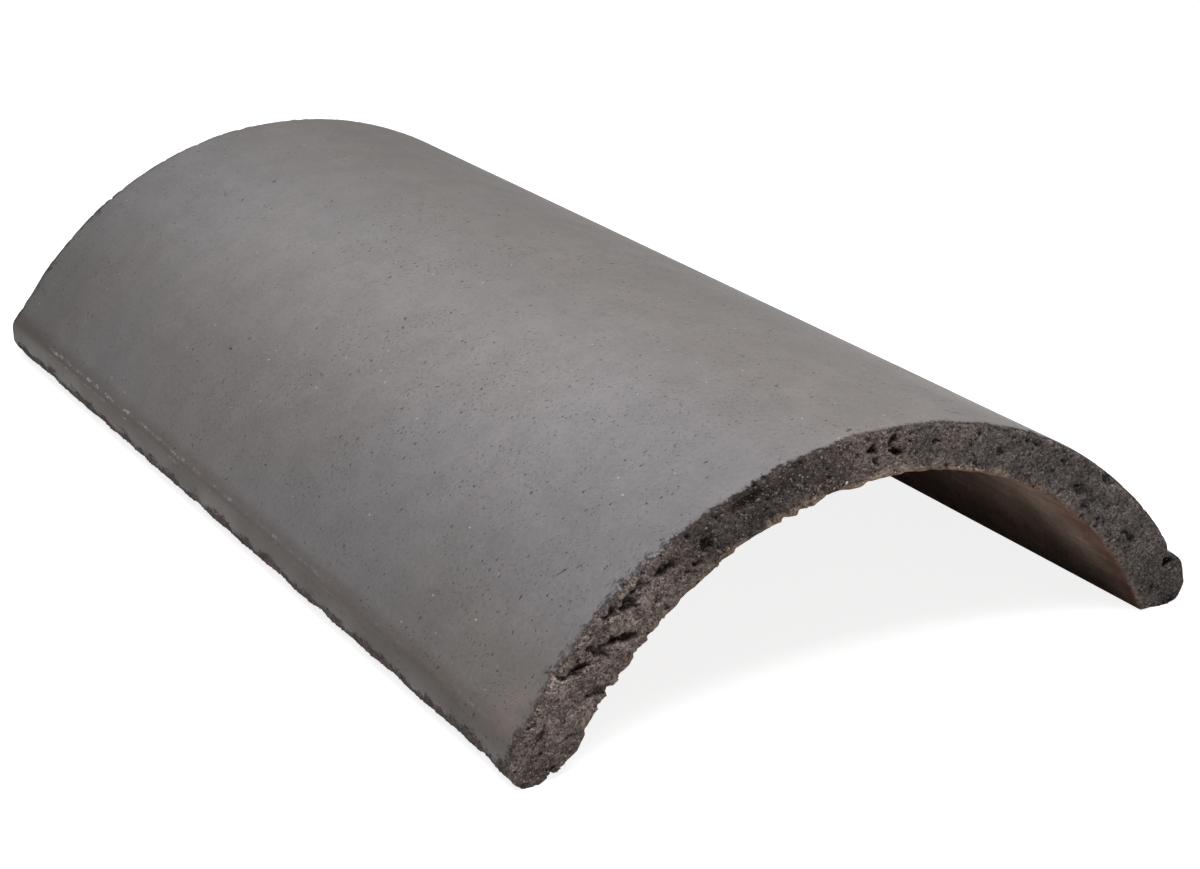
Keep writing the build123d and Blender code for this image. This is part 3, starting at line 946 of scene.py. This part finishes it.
def finish_concrete(material):
    material.use_nodes = True
    tree = material.node_tree
    tree.nodes.clear()
    w = Wiring(tree)
    place = w.node("ShaderNodeTexCoord").outputs["Object"]
    names = ("to_skin_edge", "to_mould_edge", "to_end", "round_arch", "hollow", "warmth", "tone", "cluster", "dullness")
    carried = {name: shader_attribute(w, name) for name in names}

    jagged = w.product(w.math("SUBTRACT", w.clouds(place, 1.6 * MM, 4, 0.75, seed=51), 0.5), 6.5 * MM)
    wander = w.product(w.math("SUBTRACT", w.clouds(place, 7 * MM, 1, seed=52), 0.5), 3.4 * MM)
    left_haunch = w.rise(carried["round_arch"], -60 * MM, -95 * MM, 0.0, 1.1 * MM)
    jagged = w.product(jagged, w.math("ADD", 1.0, w.product(left_haunch, 1.3 / (1.1 * MM))))
    skin_edge = w.total(carried["to_skin_edge"], jagged, wander, w.product(carried["hollow"], -0.8), -0.9 * MM)
    height = w.node("ShaderNodeSeparateXYZ", {"Vector": place}).outputs[2]
    along_toe = w.product(w.rise(height, 16 * MM, 9 * MM), w.math("SUBTRACT", w.clouds(place, 12 * MM, 3, 0.6, seed=54), 0.5))
    skin_edge = w.math("SUBTRACT", w.math("ADD", skin_edge, w.product(along_toe, 13 * MM)), left_haunch)
    on_skin = w.rise(skin_edge, -0.2 * MM, 0.3 * MM)
    mould_edge = w.total(carried["to_mould_edge"], w.product(jagged, 0.6), w.product(wander, 0.3), -0.2 * MM)
    on_mould = w.rise(mould_edge, -0.2 * MM, 0.25 * MM)
    fringe_width = w.math("ADD", left_haunch, 1.4 * MM)
    fringe = w.product(w.rise(w.math("ABSOLUTE", w.math("ADD", skin_edge, 0.4 * MM)), fringe_width, 0.2 * MM),
                       w.rise(height, 9 * MM, 16 * MM, 0.45, 0.72))
    smear = w.product(w.rise(w.clouds(place, 5 * MM, 4, 0.7, seed=57), 0.53, 0.59), w.rise(skin_edge, 6 * MM, 1 * MM),
                      w.rise(left_haunch, 0.3 * MM, 1.1 * MM), w.rise(height, 26 * MM, 32 * MM), 0.9)
    lip_width = w.rise(w.clouds(place, 9 * MM, 2, seed=55), 0.36, 0.6, 0.9 * MM, 2.8 * MM)
    lip_tone = w.rise(w.clouds(place, 3.5 * MM, 3, 0.7, seed=56), 0.34, 0.54)
    lip_colour = colour_mix(w, lip_tone, (0.24, 0.15, 0.105, 1), (0.56, 0.42, 0.31, 1))
    lip = w.rise(w.math("ABSOLUTE", w.math("ADD", mould_edge, 0.7 * MM)), lip_width, 0.3 * MM)
    near_only = w.rise(w.math("ABSOLUTE", carried["to_end"]), 6 * MM, 3 * MM)
    by_crown = w.product(w.rise(carried["round_arch"], -95 * MM, -15 * MM, 0.3, 1.0),
                         w.rise(carried["round_arch"], 76 * MM, 58 * MM, 0.22, 1.0))
    lip = w.product(lip, near_only, by_crown, w.rise(jagged, -0.6 * MM, 0.2 * MM, 0.3, 0.95))

    def surface(group, bump_strength, specular, dark_line=0.0, tan_line=0.0, **inputs):
        """One finish: its group with its inputs, the lines over it, and its own bump."""
        node = w.node("ShaderNodeGroup", node_tree=group)
        for name, value in {"place": place, **inputs}.items():
            w.feed(node.inputs[name.replace("_", " ").title()], value)
        colour = colour_mix(w, dark_line, node.outputs["Color"], (0.03, 0.023, 0.02, 1))
        colour = colour_mix(w, tan_line, colour, lip_colour)
        bump = w.node("ShaderNodeBump", {"Strength": bump_strength, "Distance": 1.0, "Height": node.outputs["Height"]})
        shader = {"Base Color": colour, "Roughness": node.outputs["Roughness"], "Normal": bump.outputs[0],
                  "IOR": 1.45, "Specular IOR Level": specular}
        return w.node("ShaderNodeBsdfPrincipled", shader).outputs[0]

    skin = surface(slurry_skin, 0.8, 0.5, w.math("MAXIMUM", fringe, smear), round_arch=carried["round_arch"], to_edge=carried["to_skin_edge"],
                   warmth=carried["warmth"], tone=carried["tone"], cluster=carried["cluster"], dullness=carried["dullness"])
    torn = surface(open_concrete, 1.0, 0.25, fringe, lip, round_arch=carried["round_arch"], hollow=carried["hollow"])
    under = surface(mould_face, 0.8, 0.05, 0.0, lip, round_arch=carried["round_arch"], to_end=carried["to_end"])
    outside = w.node("ShaderNodeMixShader", {"Fac": on_skin})
    w.feed(outside.inputs[1], torn)
    w.feed(outside.inputs[2], skin)
    whole = w.node("ShaderNodeMixShader", {"Fac": on_mould})
    w.feed(whole.inputs[1], outside.outputs[0])
    w.feed(whole.inputs[2], under)
    w.node("ShaderNodeOutputMaterial", {"Surface": whole.outputs[0]})
    return tree


print("Finish:", len(finish_concrete(concrete).nodes), "nodes")

# %% [markdown]
# ## Loose sand by Geometry Nodes
# The torn ends are half sand, and from close by each grain stands out of the paste. Modelling them one by one would
# be endless, so they are scattered: points at random over the torn faces, on each a small ball of twenty faces,
# flattened, turned at random, and sunk to its middle. Each grain keeps a colour of its own, from dark brown over
# grey to a rare tan. The seed is fixed, so they fall the same way each time.

# %% Scatter the sand
SAND = {"Grains per Square Metre": 560000.0, "Smallest": 0.2 * MM, "Largest": 0.56 * MM, "Seed": 4}


def build_sand_tree():
    tree = bpy.data.node_groups.new("sand_on_torn_faces", "GeometryNodeTree")
    inputs = {"Geometry": "NodeSocketGeometry", **SAND, "Finish": "NodeSocketMaterial"}
    group_sockets(tree, inputs, {"Geometry": "NodeSocketGeometry"})
    w = Wiring(tree)
    given = w.node("NodeGroupInput").outputs
    place = w.node("GeometryNodeInputPosition").outputs[0]
    height = w.node("ShaderNodeSeparateXYZ", {"Vector": place}).outputs[2]
    to_mould = attribute_output(w, "to_mould_edge")
    clear_of_edges = w.product(w.rise(attribute_output(w, "to_skin_edge"), -1.0 * MM, -2.2 * MM),
                               w.rise(to_mould, -0.2 * MM, -0.8 * MM))
    clear_of_floor = w.math("GREATER_THAN", height, 1.2 * MM)
    bare = w.product(w.rise(w.clouds(place, 7 * MM, 3, 0.6, seed=61), 0.35, 0.6, 0.35, 1.0), clear_of_edges, clear_of_floor)
    scattered = w.node("GeometryNodeDistributePointsOnFaces", {"Mesh": given["Geometry"], "Seed": given["Seed"],
                       "Density": w.product(bare, given["Grains per Square Metre"])})
    ball = w.node("GeometryNodeMeshIcoSphere", {"Radius": 1.0, "Subdivisions": 1}).outputs["Mesh"]

    def chance(seed):
        node = w.node("FunctionNodeRandomValue", {"Seed": seed}, data_type="FLOAT")
        return next(socket for socket in node.outputs if socket.enabled)

    spread = w.math("SUBTRACT", given["Largest"], given["Smallest"])
    size = w.math("ADD", given["Smallest"], w.product(spread, w.math("POWER", chance(5), 2.2)))
    shape = w.node("ShaderNodeCombineXYZ", {"X": w.product(size, w.math("ADD", 0.8, w.product(chance(6), 0.6))), "Y": size,
                   "Z": w.product(size, 0.65)}).outputs[0]
    spin = w.node("ShaderNodeCombineXYZ", {"Z": w.product(chance(7), 2 * pi)}).outputs[0]
    turn = w.node("FunctionNodeRotateRotation", {"Rotation": scattered.outputs["Rotation"], "Rotate By": spin},
                  rotation_space="LOCAL").outputs[0]
    grains = w.node("GeometryNodeInstanceOnPoints", {"Points": scattered.outputs["Points"], "Instance": ball,
                    "Rotation": turn, "Scale": shape}).outputs[0]

    across = w.node("ShaderNodeSeparateXYZ", {"Vector": place}).outputs[0]
    coldness = w.rise(across, -0.03, 0.08)
    plain = colour_mix(w, coldness, (0.15, 0.118, 0.106, 1), (0.115, 0.1, 0.092, 1))
    plain = w.scaled(plain, w.rise(chance(8), 0.0, 1.0, 0.45, 1.55))
    arch = attribute_output(w, "round_arch")
    on_lip = w.product(w.rise(to_mould, -2.4 * MM, -0.8 * MM), w.rise(arch, -45 * MM, -10 * MM), w.rise(arch, 68 * MM, 48 * MM))
    pasty = w.product(on_lip, w.math("GREATER_THAN", chance(11), 0.35))
    plain = colour_mix(w, pasty, plain, w.scaled((0.4, 0.3, 0.225), w.rise(chance(8), 0.0, 1.0, 0.6, 1.3)))
    colour = colour_mix(w, w.math("GREATER_THAN", chance(9), 0.985), plain, (0.24, 0.19, 0.155, 1))
    colour = colour_mix(w, w.math("GREATER_THAN", chance(10), 0.993), colour, (0.22, 0.10, 0.045, 1))
    stored = w.node("GeometryNodeStoreNamedAttribute", {"Geometry": grains, "Name": "grain_colour"},
                    data_type="FLOAT_COLOR", domain="INSTANCE")
    w.feed(next(socket for socket in stored.inputs if socket.enabled and socket.name == "Value"), colour)
    real = w.node("GeometryNodeRealizeInstances", {"Geometry": stored.outputs[0]}).outputs[0]
    smooth = w.node("GeometryNodeSetShadeSmooth", {"Geometry": real}).outputs[0]
    finished = w.node("GeometryNodeSetMaterial", {"Geometry": smooth, "Material": given["Finish"]}).outputs[0]
    w.node("NodeGroupOutput", {"Geometry": finished})
    return tree


def grain_finish():
    """Each grain shows its own colour, a little uneven."""
    material = bpy.data.materials.new("sand_and_gravel")
    material.use_nodes = True
    material.node_tree.nodes.clear()
    w = Wiring(material.node_tree)
    own = w.node("ShaderNodeAttribute", attribute_name="grain_colour").outputs["Color"]
    uneven = w.clouds(w.node("ShaderNodeTexCoord").outputs["Object"], 0.5 * MM, 2, seed=62)
    shader = {"Base Color": w.scaled(own, w.rise(uneven, 0.3, 0.7, 0.75, 1.2)), "Roughness": 0.85,
              "Specular IOR Level": 0.3}
    w.node("ShaderNodeOutputMaterial", {"Surface": w.node("ShaderNodeBsdfPrincipled", shader).outputs[0]})
    return material


sand_finish = grain_finish()
sand_base = bpy.data.objects.new("sand_base", body.data.copy())
bpy.context.scene.collection.objects.link(sand_base)
sand = bake_nodes(sand_base, build_sand_tree(), {**SAND, "Finish": sand_finish}, "sand_grains")
sand.data.calc_loop_triangles()
print("Sand:", len(sand.data.vertices) // 12, "grains,", len(sand.data.loop_triangles), "triangles")

# %% [markdown]
# ## Single grains of gravel
# A few grains catch the eye by their colour: white quartz, rust, ochre, and cream paste on the lip under the arch.
# Those are listed one by one. One on the near end is given by its place across and above the floor, and one in
# the skin by its way round the arch from the crown and its place along the tile. A ray finds the surface there, and
# the grain is sunk into it.

# %% Set the gravel
WHITE, CREAM, TAN = (0.58, 0.55, 0.52), (0.4, 0.34, 0.28), (0.25, 0.17, 0.12)
OCHRE, SALMON, RUST = (0.33, 0.21, 0.1), (0.36, 0.2, 0.15), (0.25, 0.09, 0.06)
END_GRAVEL_MM = [
    (-55.3, 60.9, 0.9, OCHRE), (-69.7, 57.7, 0.6, OCHRE), (-12.6, 73.4, 0.8, WHITE), (-17.2, 72.6, 0.7, CREAM),
    (-120.1, 24.0, 0.5, OCHRE), (-127.2, 3.6, 0.6, TAN), (-126.2, 2.8, 0.7, SALMON), (-125.2, 2.4, 0.6, TAN),
    (-124.1, 2.6, 0.7, TAN), (-60.0, 70.6, 0.45, TAN), (-42.0, 78.6, 0.45, CREAM), (31.0, 70.5, 0.5, CREAM),
]
SKIN_GRAVEL_MM = [
    (-105.4, 73.6, 0.7, SALMON), (-105.0, 71.6, 0.5, CREAM), (-117.1, -175.3, 0.75, SALMON), (-132.4, -179.6, 0.6, WHITE),
    (-147.4, -201.4, 0.5, SALMON), (-110.6, -148.2, 0.5, WHITE), (-128.6, -185.5, 0.6, SALMON), (-143.5, -165.0, 0.5, CREAM),
    (-145.4, -216.4, 0.5, SALMON), (-143.8, -219.6, 0.5, OCHRE), (-118.4, 78.0, 0.5, WHITE), (-104.0, 22.0, 0.5, WHITE),
    (-98.0, 95.0, 0.45, CREAM), (-14.0, -206.0, 0.45, WHITE), (-61.0, -96.0, 0.6, RUST), (-40.0, -150.0, 0.4, WHITE),
]
GRAVEL_SUNK = 0.72
surface = bvhtree.BVHTree.FromPolygons([point.co for point in body.data.vertices], [face.vertices for face in body.data.polygons])


def set_grain(mesh, start, way, radius, colour, number):
    """Adds one uneven ball where a ray from the start meets the tile, and colours its points."""
    place, normal, index, distance = surface.ray_cast(start, way)
    middle = place - normal * radius * GRAVEL_SUNK
    turn = Matrix.Rotation(number * 1.7, 4, "Z") @ Matrix.Rotation(number * 0.9, 4, "X")
    ball = bmesh.ops.create_icosphere(mesh, subdivisions=2, radius=radius, matrix=Matrix.Translation(middle) @ turn)
    for point in ball["verts"]:
        point.co += noise.noise_vector(point.co / (0.7 * MM)) * radius * 0.16
        point[colour_layer] = (*colour, 1)


gravel_mesh = bmesh.new()
colour_layer = gravel_mesh.verts.layers.float_color.new("grain_colour")
grains_set = 0
for across, above, radius, colour in END_GRAVEL_MM:
    set_grain(gravel_mesh, Vector((across, -300, above)) * MM, Vector((0, 1, 0)), radius * MM, colour, grains_set)
    grains_set += 1
for arch, along, radius, colour in SKIN_GRAVEL_MM:
    angle = arch * MM / OUTER_RADIUS
    outward = Vector((sin(angle), 0, cos(angle)))
    start = Vector((0, along * MM, RISE - OUTER_RADIUS)) + outward * 0.2
    set_grain(gravel_mesh, start, -outward, radius * MM, colour, grains_set)
    grains_set += 1
bmesh.ops.recalc_face_normals(gravel_mesh, faces=gravel_mesh.faces)
gravel_data = bpy.data.meshes.new("gravel_grains")
gravel_mesh.to_mesh(gravel_data)
gravel_mesh.free()
gravel_data.shade_smooth()
gravel_data.materials.append(sand_finish)
gravel = bpy.data.objects.new("gravel_grains", gravel_data)
bpy.context.scene.collection.objects.link(gravel)
print("Gravel:", grains_set, "grains,", len(gravel_data.polygons), "faces")

# %% [markdown]
# ## Floor, light and camera
# The tile stands on a pale floor under soft studio light.

# %% Stage
def light_path_floor():
    material = bpy.data.materials.new("white_floor")
    material.use_nodes = True
    material.node_tree.nodes.clear()
    w = Wiring(material.node_tree)
    path = w.node("ShaderNodeLightPath").outputs
    seen = w.math("MAXIMUM", path["Is Camera Ray"], path["Is Glossy Ray"])
    seen = w.math("MAXIMUM", seen, path["Is Transmission Ray"])
    diffuse = w.node("ShaderNodeBsdfDiffuse", {"Color": (0.5, 0.5, 0.5, 1)}).outputs[0]
    glow = w.node("ShaderNodeEmission", {"Color": (1, 1, 1, 1), "Strength": w.product(seen, 0.85)}).outputs[0]
    mixed = w.node("ShaderNodeAddShader")
    w.feed(mixed.inputs[0], diffuse)
    w.feed(mixed.inputs[1], glow)
    w.node("ShaderNodeOutputMaterial", {"Surface": mixed.outputs[0]})
    return material


floor_mesh = bpy.data.meshes.new("floor")
reach = 6.0
floor_mesh.from_pydata([(-reach, -reach, 0), (reach, -reach, 0), (reach, reach, 0), (-reach, reach, 0)], [], [(0, 1, 2, 3)])
floor = bpy.data.objects.new("floor", floor_mesh)
floor_mesh.materials.append(light_path_floor())
bpy.context.scene.collection.objects.link(floor)

world = bpy.data.worlds.new("white_room")
bpy.context.scene.world = world
world.use_nodes = True
world.node_tree.nodes.clear()
w = Wiring(world.node_tree)
path = w.node("ShaderNodeLightPath").outputs
seen = w.math("MAXIMUM", path["Is Camera Ray"], path["Is Transmission Ray"])
strength = w.node("ShaderNodeMapRange", {"Value": seen, "To Min": 0.08, "To Max": 1.0}).outputs[0]
background = w.node("ShaderNodeBackground", {"Color": (1, 1, 1, 1), "Strength": strength}).outputs[0]
w.node("ShaderNodeOutputWorld", {"Surface": background})


def area_lamp(name, place, target, size, power):
    light = bpy.data.lights.new(name, "AREA")
    light.shape = "RECTANGLE"
    light.size, light.size_y = size
    light.energy = power
    lamp = bpy.data.objects.new(name, light)
    lamp.location = place
    lamp.rotation_euler = (Vector(target) - Vector(place)).to_track_quat("-Z", "Y").to_euler()
    bpy.context.scene.collection.objects.link(lamp)
    return lamp


MIDDLE = (0, 0, 0.04)
area_lamp("overhead_softbox", (0, -0.45, 1.2), MIDDLE, (0.7, 0.7), 13.4)
area_lamp("left_softbox", (-0.4, -0.4, 1.1), MIDDLE, (0.6, 0.6), 4.6)
area_lamp("right_softbox", (1.6, -0.3, 1.8), MIDDLE, (1.4, 1.4), 7.0)
area_lamp("back_softbox", (0.0, 0.9, 0.9), MIDDLE, (0.8, 0.6), 1.8)

# %% Camera
AZIMUTH, ELEVATION, ROLL = radians(-30.411), radians(21.064), radians(-0.24)
TARGET = Vector((20.676, -23.299, 15.004)) * MM
DISTANCE = 965.05 * MM
SENSOR = 36.0
FOCAL = 2505.42 / 1200 * SENSOR
back = Vector((sin(AZIMUTH) * cos(ELEVATION), -cos(AZIMUTH) * cos(ELEVATION), sin(ELEVATION)))
across = (-back).cross(Vector((0, 0, 1))).normalized()
upward = across.cross(-back)
right = across * cos(ROLL) + upward * sin(ROLL)
up = upward * cos(ROLL) - across * sin(ROLL)
lens = bpy.data.cameras.new("camera")
lens.lens, lens.sensor_width, lens.clip_end = FOCAL, SENSOR, 50
camera = bpy.data.objects.new("camera", lens)
camera.matrix_world = Matrix.Translation(TARGET + back * DISTANCE) @ Matrix((right, up, back)).transposed().to_4x4()
bpy.context.scene.collection.objects.link(camera)
bpy.context.scene.camera = camera
bpy.context.scene.view_settings.view_transform = "Standard"

for piece in (body, sand, gravel):
    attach(piece, "root")
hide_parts("ridge_tile")
